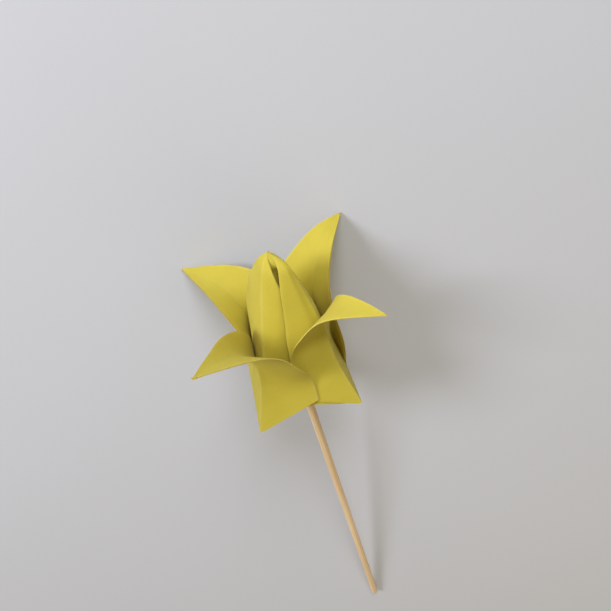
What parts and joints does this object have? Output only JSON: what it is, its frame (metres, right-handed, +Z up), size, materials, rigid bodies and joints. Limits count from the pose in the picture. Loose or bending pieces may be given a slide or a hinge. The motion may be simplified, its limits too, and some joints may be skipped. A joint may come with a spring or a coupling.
{
  "type": "origami paper tulip on a stick",
  "caption": "Folded paper tulip with peeled-back petals around a pointed bud, on a plain bamboo skewer.",
  "frame": {"origin": "centre of the footprint, on the surface that the flower lies on", "axes": "+X from the skewer's foot toward the bud, +Z up out of the table and out of the bloom's front, +Y to the bloom's left petals"},
  "size_m": [0.2094, 0.068, 0.0676],
  "materials": {
    "paper": "matt uncoated yellow craft paper, the same on both sides",
    "bamboo": "smooth bare bamboo with a fine lengthwise grain"
  },
  "bodies": {
    "root": {"folded_bloom": "paper", "bamboo_skewer": "bamboo"}
  },
  "joints": []
}
